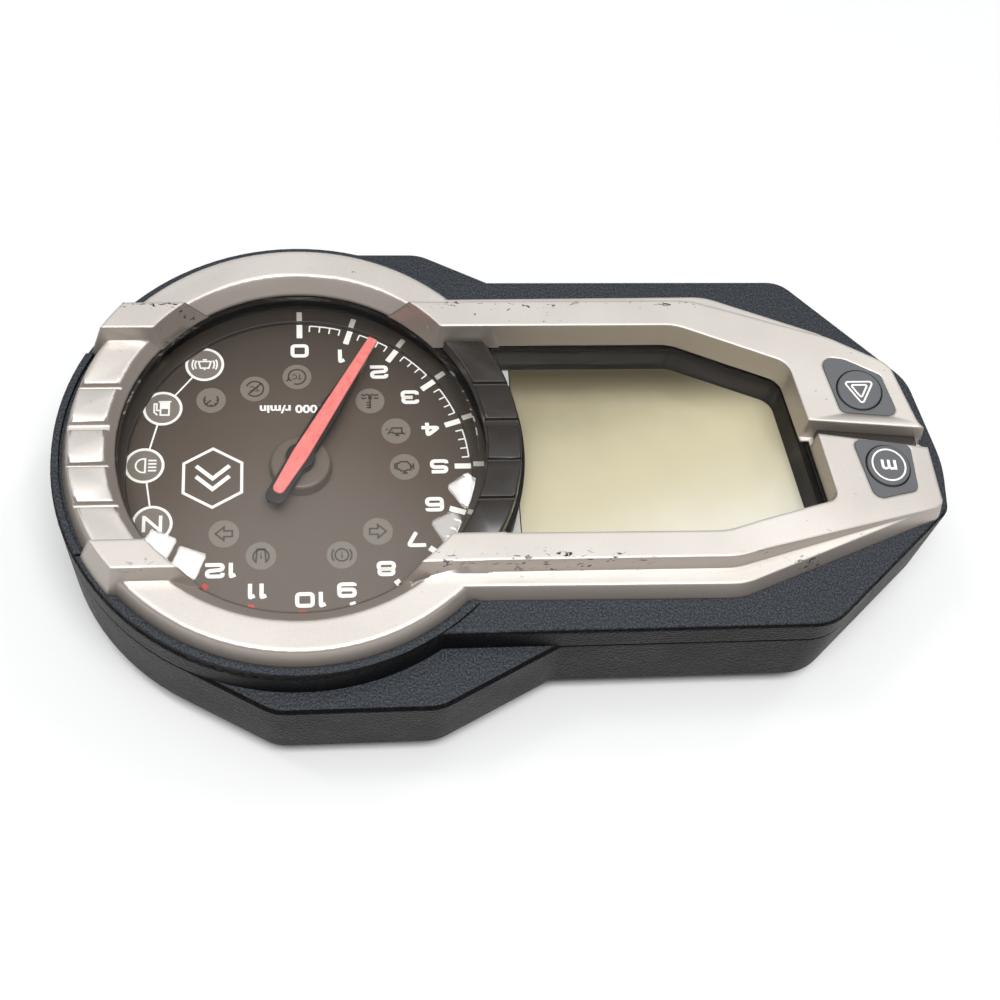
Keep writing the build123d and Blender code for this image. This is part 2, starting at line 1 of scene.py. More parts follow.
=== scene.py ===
"""Motorcycle instrument cluster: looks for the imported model, in the order of its assembly."""

from math import cos, pi, radians, sin

import bmesh
import bpy
import numpy as np
from mathutils import Euler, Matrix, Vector


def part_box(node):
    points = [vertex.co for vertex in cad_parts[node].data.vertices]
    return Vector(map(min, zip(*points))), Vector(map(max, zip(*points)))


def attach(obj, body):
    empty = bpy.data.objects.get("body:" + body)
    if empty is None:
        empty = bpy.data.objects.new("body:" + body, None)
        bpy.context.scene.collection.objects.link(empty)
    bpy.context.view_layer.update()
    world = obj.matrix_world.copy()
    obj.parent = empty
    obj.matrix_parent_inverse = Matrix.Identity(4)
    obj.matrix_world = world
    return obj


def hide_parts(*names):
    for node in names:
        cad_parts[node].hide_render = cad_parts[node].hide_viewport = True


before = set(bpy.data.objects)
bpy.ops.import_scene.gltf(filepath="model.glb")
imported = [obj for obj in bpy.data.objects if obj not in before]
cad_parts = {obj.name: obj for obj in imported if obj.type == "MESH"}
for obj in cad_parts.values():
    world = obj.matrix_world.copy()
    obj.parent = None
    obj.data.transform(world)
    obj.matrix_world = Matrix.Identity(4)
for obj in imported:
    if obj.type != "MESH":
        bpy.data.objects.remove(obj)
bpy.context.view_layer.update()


# ---- rear housing and front case ----
# Two black ABS mouldings screwed together from the back. Their moulds were etched, so the outer faces have a
# fine leather grain 0.6 mm across. Faces that point up have a painted sheen, with dust in the grain and a
# few rubs.
MM = 0.001


def linear(hex_colour):
    """sRGB hex to linear colour with alpha, by the sRGB curve."""
    parts = np.array([int(hex_colour[i:i + 2], 16) for i in (1, 3, 5)]) / 255
    straight = np.where(parts <= 0.04045, parts / 12.92, ((parts + 0.055) / 1.055) ** 2.4)
    return (*straight.tolist(), 1.0)


def add(tree, kind, links=None, out=0, **settings):
    """Adds a shader node, sets its properties, fills its sockets with values or other nodes' outputs, and
    gives back one output."""
    node = tree.nodes.new("ShaderNode" + kind)
    for name, value in settings.items():
        setattr(node, name, value)
    for socket, value in (links or {}).items():
        if isinstance(value, bpy.types.NodeSocket):
            tree.links.new(value, node.inputs[socket])
        else:
            node.inputs[socket].default_value = value
    return node.outputs[out] if node.outputs else None


def blank_material(name):
    """A material with an empty node tree, and the object's own coordinates in metres."""
    material = bpy.data.materials.new(name)
    material.use_nodes = True
    tree = material.node_tree
    tree.nodes.clear()
    place = add(tree, "TexCoord", out="Object")
    return material, tree, place


def grained_abs():
    """Black ABS from an etched mould: dark and half matt, with leather cells of 0.6 mm, fine pores, and
    small shinier rubs. Faces that point up have a painted sheen, a lighter grey, and dust in the grain."""
    material, tree, place = blank_material("grained_abs")
    patches = add(tree, "TexNoise", {"Vector": place, "Scale": 1 / (14 * MM), "Detail": 4.0})
    colour = add(tree, "Mix", {0: patches, 6: linear("#040405"), 7: linear("#070708")}, out=2,
                 data_type="RGBA")
    facing = add(tree, "NewGeometry", out="Normal")
    upward = add(tree, "SeparateXYZ", {0: facing}, out="Z")
    sheen_and_dust = add(tree, "MapRange", {0: upward, 1: 0.7, 2: 0.99}, interpolation_type="SMOOTHSTEP")
    # painted sheen: faces that point up are painted a lighter grey
    colour = add(tree, "Mix", {0: sheen_and_dust, 6: colour, 7: linear("#2C2F33")}, out=2, data_type="RGBA")
    dust = add(tree, "TexNoise", {"Vector": place, "Scale": 1 / (0.4 * MM), "Detail": 3.0})
    dust = add(tree, "MapRange", {0: dust, 1: 0.35, 2: 0.75, 4: 0.7}, interpolation_type="SMOOTHSTEP")
    dust = add(tree, "Math", {0: dust, 1: sheen_and_dust}, operation="MULTIPLY")
    colour = add(tree, "Mix", {0: dust, 6: colour, 7: linear("#5E6268")}, out=2, data_type="RGBA")
    smears = add(tree, "TexNoise", {
        "Vector": place, "Scale": 1 / (3 * MM), "Detail": 6.0, "Distortion": 0.8})
    rubs = add(tree, "MapRange", {0: smears, 1: 0.64, 2: 0.74, 4: 0.35}, interpolation_type="SMOOTHSTEP")
    colour = add(tree, "Mix", {0: rubs, 6: colour, 7: linear("#3A3D41")}, out=2, data_type="RGBA")
    rough = add(tree, "MapRange", {0: patches, 1: 0.3, 2: 0.7, 3: 0.42, 4: 0.48},
                interpolation_type="SMOOTHSTEP")
    rough = add(tree, "Math", {0: rubs, 1: -0.2, 2: rough}, operation="MULTIPLY_ADD")
    edge = add(tree, "Bevel", {"Radius": 0.7 * MM}, samples=6)
    cells = add(tree, "TexVoronoi", {"Vector": place, "Scale": 1 / (0.6 * MM)}, feature="SMOOTH_F1")
    leather = add(tree, "Bump", {"Height": cells, "Distance": 0.3 * MM, "Strength": 1.0, "Normal": edge})
    pores = add(tree, "TexNoise", {"Vector": place, "Scale": 1 / (0.25 * MM), "Detail": 2.0})
    leather = add(tree, "Bump", {
        "Height": pores, "Distance": 0.07 * MM, "Strength": 0.8, "Normal": leather})
    shader = add(tree, "BsdfPrincipled", {
        "Base Color": colour, "Roughness": rough, "Specular IOR Level": 0.13, "Normal": leather})
    add(tree, "OutputMaterial", {"Surface": shader})
    return material


def moulded(node, body, material, round_mm=0.0, steps=2, crease=28):
    """Copy of a CAD node that replaces it, with its loose triangles merged and its small edges rounded."""
    work = bmesh.new()
    work.from_mesh(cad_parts[node].data)
    bmesh.ops.remove_doubles(work, verts=work.verts, dist=0.002 * MM)
    bmesh.ops.dissolve_limit(work, angle_limit=radians(0.8), verts=work.verts, edges=work.edges)
    mesh = bpy.data.meshes.new(node + "_moulded")
    work.to_mesh(mesh)
    work.free()
    mesh.materials.clear()
    mesh.materials.append(material)
    mesh.shade_smooth()
    mesh.set_sharp_from_angle(angle=radians(crease))
    piece = bpy.data.objects.new(node + "_moulded", mesh)
    bpy.context.scene.collection.objects.link(piece)
    if round_mm:
        bevel = piece.modifiers.new("rounded", "BEVEL")
        bevel.width = round_mm * MM
        bevel.segments = steps
        bevel.limit_method = "ANGLE"
        bevel.angle_limit = radians(crease)
        bevel.harden_normals = True
    even = piece.modifiers.new("even", "WEIGHTED_NORMAL")
    even.keep_sharp = True
    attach(piece, body)
    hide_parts(node)
    return piece


CASE_PLASTIC = grained_abs()
moulded("rear_housing", "case", CASE_PLASTIC)
moulded("front_case", "case", CASE_PLASTIC)


# ---- fasteners and inserts ----
# Zinc-plated thread-forming screws hold the shells and the board, and knurled brass inserts are set in the
# three posts. The needle's shaft, the connector's contacts and the motor's windings are metal too.
def painted(nodes, material):
    """CAD nodes that keep their own mesh and take a finished material."""
    for name in nodes:
        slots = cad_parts[name].data.materials
        slots.clear()
        slots.append(material)


def turned_metal(name, pale, dark, roughness):
    """Plated or turned metal with faint tool marks 0.3 mm apart and duller patches."""
    material, tree, place = blank_material(name)
    patches = add(tree, "TexNoise", {"Vector": place, "Scale": 1 / (2.5 * MM), "Detail": 4.0})
    colour = add(tree, "Mix", {0: patches, 6: linear(dark), 7: linear(pale)}, out=2, data_type="RGBA")
    rough = add(tree, "MapRange", {0: patches, 1: 0.25, 2: 0.75, 3: roughness, 4: roughness + 0.15})
    marks = add(tree, "TexNoise", {"Vector": place, "Scale": 1 / (0.3 * MM), "Detail": 2.0})
    marked = add(tree, "Bump", {"Height": marks, "Distance": 0.02 * MM, "Strength": 0.6})
    shader = add(tree, "BsdfPrincipled", {
        "Base Color": colour, "Metallic": 1.0, "Roughness": rough, "Normal": marked})
    add(tree, "OutputMaterial", {"Surface": shader})
    return material


ZINC = turned_metal("zinc_plate", "#C9CCD0", "#9DA1A6", 0.28)
BRASS = turned_metal("turned_brass", "#D9B36A", "#B08A42", 0.26)
COPPER = turned_metal("enamelled_copper", "#C8783C", "#9C5424", 0.3)
moulded("case_screws", "case", ZINC, 0.15)
moulded("mount_inserts", "case", BRASS, 0.15)
painted(["board_screws", "motor_shaft"], ZINC)
painted(["connector_pins"], BRASS)
painted(["motor_coils"], COPPER)


# ---- boards, chips, socket and vent ----
# Green solder-masked glass fibre boards with black epoxy parts, white moulded light guides and lamp
# housings, rubber gaskets, and at the back a nylon socket and a vent plug.
def solder_mask():
    """Green lacquer over woven glass: weave 0.6 mm, pale tracks and a clear gloss."""
    material, tree, place = blank_material("solder_mask")
    run = add(tree, "TexNoise", {
        "Vector": place, "Scale": 1 / (3.5 * MM), "Detail": 1.0, "Distortion": 2.0})
    tracks = add(tree, "MapRange", {0: run, 1: 0.49, 2: 0.51})
    colour = add(tree, "Mix", {0: tracks, 6: linear("#0E3A22"), 7: linear("#17552F")}, out=2,
                 data_type="RGBA")
    rough = add(tree, "MapRange", {0: tracks, 3: 0.3, 4: 0.38})
    weave = add(tree, "TexChecker", {"Vector": place, "Scale": 1 / (0.6 * MM)}, out="Fac")
    woven = add(tree, "Bump", {"Height": weave, "Distance": 0.01 * MM, "Strength": 0.3})
    shader = add(tree, "BsdfPrincipled", {"Base Color": colour, "Roughness": rough, "Normal": woven})
    add(tree, "OutputMaterial", {"Surface": shader})
    return material


def plain_moulding(name, dark, pale, roughness, grain_mm=0.4, edge_mm=0.3, level=0.5):
    """Moulded plastic or rubber without a deep texture: faint mottling, a fine bump, uneven gloss."""
    material, tree, place = blank_material(name)
    mottle = add(tree, "TexNoise", {"Vector": place, "Scale": 1 / (6 * MM), "Detail": 5.0})
    colour = add(tree, "Mix", {0: mottle, 6: linear(dark), 7: linear(pale)}, out=2, data_type="RGBA")
    rough = add(tree, "MapRange", {0: mottle, 1: 0.3, 2: 0.7, 3: roughness, 4: roughness + 0.1})
    edge = add(tree, "Bevel", {"Radius": edge_mm * MM}, samples=6)
    fine = add(tree, "TexNoise", {"Vector": place, "Scale": 1 / (grain_mm * MM), "Detail": 2.0})
    uneven = add(tree, "Bump", {"Height": fine, "Distance": 0.03 * MM, "Strength": 0.4, "Normal": edge})
    shader = add(tree, "BsdfPrincipled", {
        "Base Color": colour, "Roughness": rough, "Specular IOR Level": level, "Normal": uneven})
    add(tree, "OutputMaterial", {"Surface": shader})
    return material


BOARD = solder_mask()
EPOXY = plain_moulding("black_epoxy", "#161618", "#232326", 0.42)
WHITE_ABS = plain_moulding("white_abs", "#D8D8D4", "#EDEDE9", 0.42)
LAMP = plain_moulding("lamp_epoxy", "#E8E2C0", "#F4F0D8", 0.25)
SEAL = plain_moulding("seal_rubber", "#101011", "#1B1B1D", 0.7)
painted(["circuit_board", "switch_board"], BOARD)
painted(["board_chips", "motor_case", "hazard_switch", "menu_switch"], EPOXY)
painted(["switch_ribbon", "ribbon_socket", "display_frame", "display_backlight"], WHITE_ABS)
painted(["light_box", "dial_diffuser", "motor_wheel", "hazard_plunger", "menu_plunger"], WHITE_ABS)
painted(["telltale_leds", "dial_leds", "display_leds"], LAMP)
painted(["housing_seal", "lens_seal", "display_strips"], SEAL)
moulded("connector_shell", "case", EPOXY, 0.2)
moulded("breather_vent", "case", EPOXY, 0.2)


# ---- dial face, chapter ring and hub ----
# A polycarbonate sheet screen-printed dark brown-grey lies on the light box. A raised outer track runs round
# it, with a low disc at its hub and a black wall up to the lens.
dial_low, dial_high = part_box("dial_plate")
DIAL_X = (dial_low.x + dial_high.x) / 2
DIAL_Z = dial_high.z


def printed_sheet(name, inner, outer, roughness):
    """Screen-printed sheet with specks and a soft sheen; painted shade darkens it from hub to lower rim."""
    material, tree, place = blank_material(name)
    centred = add(tree, "Mapping", {"Vector": place, "Location": (-DIAL_X, 0, 0)})
    flat = add(tree, "VectorMath", {0: centred, 1: (1, 1, 0)}, operation="MULTIPLY")
    radius = add(tree, "VectorMath", {0: flat}, out="Value", operation="LENGTH")
    height = add(tree, "SeparateXYZ", {0: centred}, out="Y")
    # painted shade: darker towards the rim and towards the lower (-Y) side
    low = add(tree, "MapRange", {0: height, 1: 30 * MM, 2: -30 * MM}, interpolation_type="SMOOTHSTEP")
    wide = add(tree, "MapRange", {0: radius, 1: 5 * MM, 2: 44 * MM}, interpolation_type="SMOOTHSTEP")
    share = add(tree, "Math", {0: wide, 1: low}, operation="MULTIPLY")
    colour = add(tree, "Mix", {0: share, 6: linear(inner), 7: linear(outer)}, out=2, data_type="RGBA")
    specks = add(tree, "TexNoise", {"Vector": place, "Scale": 1 / (0.25 * MM), "Detail": 2.0})
    pale = add(tree, "MapRange", {0: specks, 1: 0.3, 2: 0.8, 4: 0.2}, interpolation_type="SMOOTHSTEP")
    colour = add(tree, "Mix", {0: pale, 6: colour, 7: linear("#8C8074")}, out=2, data_type="RGBA")
    rough = add(tree, "MapRange", {0: specks, 1: 0.3, 2: 0.7, 3: roughness, 4: roughness + 0.1})
    screened = add(tree, "Bump", {"Height": specks, "Distance": 0.006 * MM, "Strength": 0.3})
    shader = add(tree, "BsdfPrincipled", {"Base Color": colour, "Roughness": rough, "Normal": screened})
    add(tree, "OutputMaterial", {"Surface": shader})
    return material


# each sheet's second colour is its painted shade at the lower rim
DIAL_INK = printed_sheet("dial_ink", "#62544A", "#3C3128", 0.42)
RING_INK = printed_sheet("ring_ink", "#4A3F37", "#2E2620", 0.35)
HUB_INK = printed_sheet("hub_ink", "#6E6258", "#5A4F46", 0.3)
GLOSS_BLACK = plain_moulding("gloss_black_abs", "#2E2A26", "#38332F", 0.26, 1.5, 0.3)
MASK_BLACK = plain_moulding("mask_black_abs", "#080605", "#0D0A08", 0.34, 4.0, 0.3, 0.05)
painted(["dial_plate"], DIAL_INK)
moulded("chapter_ring", "case", RING_INK, 0.1)
moulded("dial_shroud", "case", MASK_BLACK)
moulded("dial_boss", "case", HUB_INK, 0.1)


# ---- printed scale ----
# White, grey and red inks screened on the face and on the raised track, all under 0.1 mm thick: numerals
# 0 to 12, a tick at each, combs of fine lines up to 7, dots above that, and the unit.
INK_RISE = 0.06 * MM
SWEEP = 18                 # degrees between two numerals
INK_R = 32.9               # radius of the numerals, mm
INNER_TICK = (36.6, 40.5, 1.4)     # inner and outer radius and width of a tick on the face, mm
OUTER_TICK = (41.0, 43.6, 1.3)     # its other half on the raised track
COMB_R = 40.2              # radius of a comb's spine
COMB_LINE = 0.35           # width of a comb's lines
TRACK_R = 40.8             # inner radius of the raised track
RED_FROM = 10              # the scale is red from this numeral on
# how far some numerals stand off their ticks' lines, mm
NUDGED = {9: (0, 0.5), 10: (-1.9, 1.1), 11: (0, 0.3), 12: (-0.9, -0.4)}


def turn(points, degrees):
    """Plan points turned about the middle."""
    c, s = cos(radians(degrees)), sin(radians(degrees))
    return np.asarray(points) @ np.array([[c, s], [-s, c]])


def arc(radius, start, end, count=24, centre=(0, 0)):
    """Points along a circle from one angle to another, in degrees."""
    angle = np.radians(np.linspace(start, end, count))
    return np.column_stack([centre[0] + radius * np.cos(angle), centre[1] + radius * np.sin(angle)])


def stroke(points, width, closed=False):
    """Flat ribbon along a line without its repeated points: each point is moved half the width to each
    side, along the mitred normal."""
    line = np.asarray(points, float)
    moved = np.linalg.norm(line - np.roll(line, 1, 0), axis=1) > 0.001
    moved[0] = moved[0] or not closed
    line = line[moved]
    ahead = np.roll(line, -1, 0) - line
    if not closed:
        ahead[-1] = ahead[-2]
    ahead /= np.linalg.norm(ahead, axis=1)[:, None]
    behind = np.roll(ahead, 1, 0)
    if not closed:
        behind[0] = ahead[0]
    normal = np.column_stack([-(ahead + behind)[:, 1], (ahead + behind)[:, 0]])
    normal /= np.maximum((normal ** 2).sum(1), 0.5)[:, None] / 2
    sides = np.vstack([line + normal * width / 2, line - normal * width / 2])
    n = len(line)
    step = np.arange(n if closed else n - 1)
    after = (step + 1) % n
    return sides, np.column_stack([step + n, after + n, after, step]).tolist()


def filled(points):
    """Flat face with this outline, which runs anticlockwise."""
    return np.asarray(points, float), [list(range(len(points)))]


def lettering(text, height, width=None, weight=0.0):
    """Flat letters of the built-in face, scaled to a height and width in mm, centred, with added weight."""
    curve = bpy.data.curves.new("lettering", "FONT")
    curve.body = text
    curve.offset = weight
    holder = bpy.data.objects.new("lettering", curve)
    bpy.context.scene.collection.objects.link(holder)
    depsgraph = bpy.context.evaluated_depsgraph_get()
    mesh = bpy.data.meshes.new_from_object(holder.evaluated_get(depsgraph))
    points = np.zeros(len(mesh.vertices) * 3)
    mesh.vertices.foreach_get("co", points)
    points = points.reshape(-1, 3)[:, :2]
    size = np.ptp(points, axis=0)
    scale = height / size[1]
    wide = scale if width is None else width / size[0]
    points = (points - points.min(0) - size / 2) * (wide, scale)
    faces = [list(face.vertices) for face in mesh.polygons]
    bpy.data.objects.remove(holder)
    bpy.data.meshes.remove(mesh)
    return points, faces


def shifted(part, at, degrees=0.0):
    """A flat part turned and then moved in the plan."""
    points, faces = part
    return turn(points, degrees) + np.asarray(at, float), faces


def flat_piece(name, parts, height, body, material):
    """One mesh from flat parts in dial millimetres, all at one height or at the height a function gives."""
    corners, faces, count = [], [], 0
    for points, part_faces in parts:
        level = height(points) if callable(height) else np.full(len(points), height)
        corners.append(np.column_stack([points * MM + (DIAL_X, 0), level]))
        faces += [[i + count for i in face] for face in part_faces]
        count += len(points)
    mesh = bpy.data.meshes.new(name)
    mesh.from_pydata(np.vstack(corners).tolist(), [], faces)
    mesh.materials.append(material)
    piece = bpy.data.objects.new(name, mesh)
    bpy.context.scene.collection.objects.link(piece)
    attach(piece, body)
    return piece


def scale_angle(reading):
    """Direction of a reading on the scale, in degrees from +X."""
    return 270 - SWEEP * reading


def radial(reading, inner, outer, width):
    """Tick from one radius to another at a reading."""
    return shifted(stroke([(inner, 0), (outer, 0)], width), (0, 0), scale_angle(reading))


def screened_ink(name, thin, thick, painted_light=0.0):
    """Screen-printed ink: slightly uneven cover with pinholes 0.2 mm across, and painted light of its own.
    """
    material, tree, place = blank_material(name)
    cover = add(tree, "TexNoise", {"Vector": place, "Scale": 1 / (0.2 * MM), "Detail": 3.0})
    full = add(tree, "MapRange", {0: cover, 1: 0.25, 2: 0.6}, interpolation_type="SMOOTHSTEP")
    colour = add(tree, "Mix", {0: full, 6: linear(thin), 7: linear(thick)}, out=2, data_type="RGBA")
    rough = add(tree, "MapRange", {0: cover, 1: 0.3, 2: 0.7, 3: 0.42, 4: 0.55})
    shader = add(tree, "BsdfPrincipled", {
        # painted light: the ink gives off its thicker colour as light of its own
        "Base Color": colour, "Roughness": rough, "Emission Color": linear(thick),
        "Emission Strength": painted_light})
    add(tree, "OutputMaterial", {"Surface": shader})
    return material


def eased(corners, radius, closed=False):
    """Line through corners with each corner cut to a five-point parabola that starts and ends at radius."""
    corner = np.asarray(corners, float)
    before, after = np.roll(corner, 1, 0), np.roll(corner, -1, 0)
    share = np.linspace(0, 1, 5)[:, None]
    bends = []
    for here, back, ahead in zip(corner, before, after):
        start = here + (back - here) * min(0.5, radius / np.linalg.norm(back - here))
        end = here + (ahead - here) * min(0.5, radius / np.linalg.norm(ahead - here))
        bends.append((1 - share) ** 2 * start + 2 * share * (1 - share) * here + share ** 2 * end)
    if not closed:
        bends[0], bends[-1] = corner[:1], corner[-1:]
    return np.vstack(bends)


# each figure is drawn with one pen in a box 3.5 by 2.9 mm: (corners, closed)
LOOP = [(-1.75, 0.12), (-1.75, -1.45), (1.75, -1.45), (1.75, 0.12)]
FIGURES = {
    "0": [([(-1.75, 1.45), (-1.75, -1.45), (1.75, -1.45), (1.75, 1.45)], True)],
    "1": [([(-0.75, 1.1), (0.1, 1.45), (0.3, 1.45), (0.3, -1.9)], False)],
    "2": [([(-1.75, 0.6), (-1.75, 1.45), (1.75, 1.45), (1.75, 0.1), (-1.75, -0.2), (-1.75, -1.45),
            (2.2, -1.45)], False)],
    "3": [([(-1.75, 0.7), (-1.75, 1.45), (1.6, 1.45), (1.6, 0.05), (-0.7, 0.05)], False),
          ([(-0.7, 0.05), (1.75, 0.05), (1.75, -1.45), (-1.75, -1.45), (-1.75, -0.7)], False)],
    "4": [([(0.8, -1.9), (0.8, 1.6), (-1.9, -0.55), (2.2, -0.55)], False)],
    "5": [([(1.9, 1.45), (-1.6, 1.45), (-1.7, 0.2), (1.75, 0.2), (1.75, -1.45), (-1.75, -1.45),
            (-1.75, -0.8)], False)],
    "6": [(LOOP, True), ([(-1.75, -0.6), (-1.75, 1.45), (1.75, 1.45), (1.75, 1.0)], False)],
    "7": [([(-2.2, 1.45), (1.9, 1.45), (0.0, -1.9)], False)],
    "8": [(LOOP, True), ([(-1.6, 0.1), (-1.6, 1.45), (1.6, 1.45), (1.6, 0.1)], True)],
    "9": [([(1.75, -0.12), (1.75, 1.45), (-1.75, 1.45), (-1.75, -0.12)], True),
          ([(1.75, 0.6), (1.75, -1.45), (-1.75, -1.45), (-1.75, -1.0)], False)],
}
PEN = 0.95                 # stroke width of the figures, mm
STEP = 5.2                 # room for one figure, half of it for a 1
PEN_BEND = 0.75            # size of the figures' rounded corners


def figures(text):
    """Wide bold figures side by side, centred."""
    advance = [STEP / 2 if mark == "1" else STEP for mark in text]
    left = np.cumsum([0] + advance[:-1]) - sum(advance) / 2
    parts = []
    for mark, start, step in zip(text, left, advance):
        for corners, closed in FIGURES[mark]:
            outline = eased(corners, PEN_BEND, closed) + (start + step / 2, 0)
            parts.append(stroke(outline, PEN, closed))
    return parts


# the last figure of each ink is the strength of its painted light
WHITE_INK = screened_ink("white_ink", "#EFEDEA", "#FBFAF7", 0.18)
GREY_INK = screened_ink("grey_ink", "#B8B2A8", "#D0CBC2", 0.05)
RED_INK = screened_ink("red_ink", "#B4332B", "#D23E33", 0.06)
white, grey, red = [], [], []
for number in range(13):
    centre = turn([(INK_R, 0)], scale_angle(number))[0] + NUDGED.get(number, (0, 0))
    white += [shifted(part, centre) for part in figures(str(number))]
    inner, outer = (red, red) if number >= RED_FROM else (white, grey)
    inner.append(radial(number, *INNER_TICK))
    outer.append(radial(number, *OUTER_TICK))
for number in range(7):
    comb = arc(COMB_R, scale_angle(number + 0.2), scale_angle(number + 0.8), 14)
    white.append(stroke(comb, COMB_LINE))
    white += [radial(number + tenth / 10, COMB_R - 1.7, COMB_R, COMB_LINE) for tenth in (2, 4, 6, 8)]
for fifth in range(36, 60):
    if fifth % 5:
        dots = white if fifth < 5 * RED_FROM else red
        dots.append(radial(fifth / 5, COMB_R - 0.6, COMB_R + 0.2, 0.7))
white.append(shifted(lettering("x1000 r/min", 2.3, 17.6, 0.035), (0.9, -16.3)))


def ink_height(points):
    """Ink lies on the face, and on the raised track outside it."""
    outside = np.hypot(*points.T) > TRACK_R
    return np.where(outside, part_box("chapter_ring")[1].z, DIAL_Z) + INK_RISE


flat_piece("scale_white", white, ink_height, "case", WHITE_INK)
flat_piece("scale_grey", grey, ink_height, "case", GREY_INK)
flat_piece("scale_red", red, ink_height, "case", RED_INK)


# ---- telltales ----
# Fourteen lamp windows in the print: four white-ringed ones joined by a line and ten plain discs with dark
# symbols. They show grey because no lamp behind them is lit. A six-sided badge is printed beside them.
RINGED = {"horn": (23.0, -29.1), "fuel": (32.7, -16.8), "beam": (36.5, -1.3), "neutral": (34.2, 14.0)}
PLAIN = {
    "cruise": (21.3, -19.0), "traction_off": (10.9, -22.1), "traction": (0.7, -25.4),
    "coolant": (-16.9, -18.4), "oil": (-22.9, -9.9), "engine": (-24.6, 0.0), "left": (-17.7, 17.0),
    "brake": (-9.2, 22.9), "tyre": (9.3, 22.7), "right": (17.8, 16.9),
}
LINE = 0.42                # line width of the symbols, mm
RINGED_R = 4.1             # radius of a ringed lamp window
PLAIN_R = 3.5              # radius of a plain one
BADGE_AT = (20.6, 2.2)     # middle of the badge
BADGE_R = 7.8              # radius of its corners


def circle(radius, centre=(0, 0), width=LINE):
    """Ring drawn with a line."""
    return stroke(arc(radius, 0, 360 - 10, 36, centre), width, closed=True)


def line(*points, closed=False):
    """Symbol line through points."""
    return stroke(points, LINE, closed)


def block_arrow():
    """Outline of a broad arrow that points to +X."""
    tip = [(0, 0.75), (0, 1.7), (1.95, 0), (0, -1.7), (0, -0.75)]
    return [line((-1.9, 0.75), *tip, (-1.9, -0.75), closed=True)]


SYMBOLS = {
    "horn": [
        line((-1.0, 1.0), (1.0, 1.0), (1.5, -0.9), (-1.5, -0.9), closed=True),
        line((0, 1.0), (0, 1.6)),
        line((-0.5, -1.4), (0.5, -1.4)),
        stroke(arc(2.3, 150, 210, 8), LINE), stroke(arc(3.0, 152, 208, 8), LINE),
        stroke(arc(2.3, -30, 30, 8), LINE), stroke(arc(3.0, -28, 28, 8), LINE),
    ],
    "fuel": [
        filled([(-1.7, -1.9), (0.7, -1.9), (0.7, 0.1), (-1.7, 0.1)]),
        line((-1.5, 0.0), (-1.5, 1.8), (0.5, 1.8), (0.5, 0.0)),
        line((0.6, 0.5), (1.4, 0.5), (1.4, -1.3), (2.0, -1.3), (2.0, 1.0), (1.2, 1.8)),
        line((-2.0, -1.9), (1.0, -1.9)),
    ],
    "beam": [
        line(*arc(1.8, 90, -90, 16, (0.2, 0)), (-0.2, -1.8), (-0.2, 1.8), closed=True),
        *[line((-2.8, y), (-0.9, y)) for y in (-1.35, -0.45, 0.45, 1.35)],
    ],
    "neutral": [lettering("N", 4.2, 4.6, 0.01)],
    "cruise": [
        stroke(arc(1.7, -40, 220, 20), LINE), line((0, 0), (1.0, 0.9)),
        *[line(1.2 * arc(1, a, a, 1)[0], 1.6 * arc(1, a, a, 1)[0]) for a in (0, 45, 90, 135, 180)],
    ],
    "traction_off": [
        lettering("TC", 1.5, 2.3, 0.02), stroke(arc(2.1, 50, 340, 24), LINE),
        line((-1.6, -1.6), (1.6, 1.6)),
    ],
    "traction": [
        lettering("TC", 1.5, 2.3, 0.02), stroke(arc(2.1, 70, 380, 24), LINE),
        line((1.4, 1.2), (2.0, 0.6), (2.6, 1.2)),
    ],
    "coolant": [
        line((0, -0.6), (0, 2.1)), filled(arc(0.55, 0, 345, 20, (0, -0.9))),
        line((0, 1.9), (0.9, 1.9)), line((0, 1.2), (0.9, 1.2)), line((0, 0.5), (0.9, 0.5)),
        line((-2.1, -0.9), (-1.5, -0.6), (-0.9, -0.9)), line((0.9, -0.9), (1.5, -0.6), (2.1, -0.9)),
        line(*[(x, -1.8 if wave % 2 == 0 else -1.5) for wave, x in enumerate(np.linspace(-2.1, 2.1, 7))]),
    ],
    "oil": [
        line((-1.4, -0.8), (0.9, -0.8), (1.9, 0.7), (0.9, 0.3), (0.6, 0.7), (-1.4, 0.7), closed=True),
        line((-1.4, 0.5), (-2.2, 0.9)), line((-0.3, 0.7), (-0.3, 1.2)), line((-0.8, 1.25), (0.2, 1.25)),
        filled(arc(0.25, 0, 330, 12, (2.2, -0.4))),
    ],
    "engine": [
        line((-1.5, -0.4), (-1.5, 0.8), (-0.6, 0.8), (-0.2, 1.1), (0.9, 1.1), (1.3, 0.6), (1.8, 0.6),
             (1.8, -1.0), (1.3, -1.0), (0.9, -1.4), (-0.6, -1.4), (-1.1, -0.9), closed=True),
        line((-0.1, 1.2), (-0.1, 1.6)), line((-0.7, 1.7), (0.6, 1.7)), line((-2.1, -0.9), (-2.1, 0.7)),
        line((-2.1, -0.1), (-1.5, -0.1)), line((2.3, 0.6), (2.3, -1.0)),
    ],
    "left": [shifted(part, (0, 0), 180) for part in block_arrow()],
    "right": block_arrow(),
    "brake": [
        circle(1.55), stroke(arc(2.3, 140, 220, 12), LINE), stroke(arc(2.3, -40, 40, 12), LINE),
        lettering("!", 1.7, 0.4, 0.01),
    ],
    "tyre": [
        line(*arc(1.8, 130, 410, 20, (0, 0.2)), (0.9, -1.7), (-0.9, -1.7), closed=True),
        lettering("!", 1.6, 0.4, 0.01),
    ],
}
